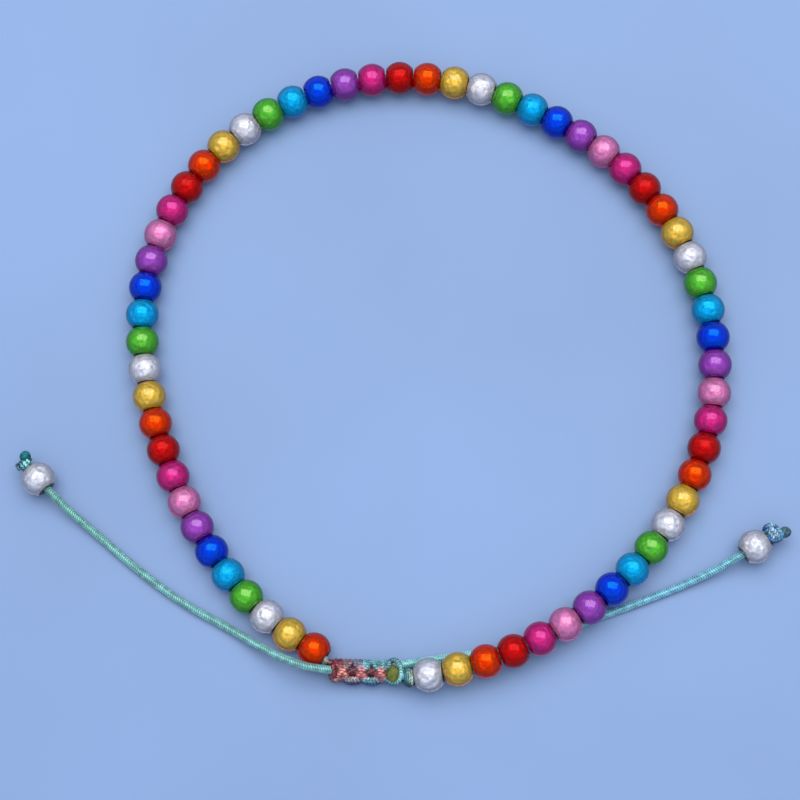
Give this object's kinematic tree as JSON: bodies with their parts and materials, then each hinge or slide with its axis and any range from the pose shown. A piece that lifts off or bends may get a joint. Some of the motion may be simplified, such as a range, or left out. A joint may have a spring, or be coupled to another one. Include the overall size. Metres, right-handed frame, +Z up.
{
  "type": "beaded anklet",
  "caption": "Adjustable anklet of round mirror-cored beads on a thin cord, closed by a sliding knot whose two tails each end in a bead and a small knot.",
  "frame": {"origin": "on the surface that the anklet lies on, at the middle of the ring of beads and sliding knot, the two free tails left out", "axes": "+Z up from the surface; +Y across the ring, away from the sliding knot; +X to the right seen from above with the sliding knot nearest"},
  "size_m": [0.0918, 0.077, 0.0051],
  "materials": {
    "bead_orange": "clear dyed lacquer over a foiled core",
    "bead_gold": "clear dyed lacquer over a foiled core",
    "bead_white": "clear lacquer over a foiled core",
    "bead_green": "clear dyed lacquer over a foiled core",
    "bead_turquoise": "clear dyed lacquer over a foiled core",
    "bead_blue": "clear dyed lacquer over a foiled core",
    "bead_purple": "clear dyed lacquer over a foiled core",
    "bead_pink": "clear dyed lacquer over a foiled core",
    "bead_magenta": "clear dyed lacquer over a foiled core",
    "bead_red": "clear dyed lacquer over a foiled core",
    "bead_core": "crazed silver foiling",
    "teal_cord": "satin braid",
    "knot_cord": "space-dyed satin braid",
    "melted_end": "melted cord, smooth"
  },
  "bodies": {
    "root": {"bead_string": "bead_turquoise", "left_end_bead": "bead_white", "right_end_bead": "bead_white", "string_thread": "teal_cord", "left_tail": "teal_cord", "right_tail": "teal_cord", "sliding_knot": "knot_cord", "knot_end_melt": "melted_end", "stopper_knot": "knot_cord", "left_end_knot": "teal_cord", "right_end_knot": "teal_cord"}
  },
  "joints": []
}
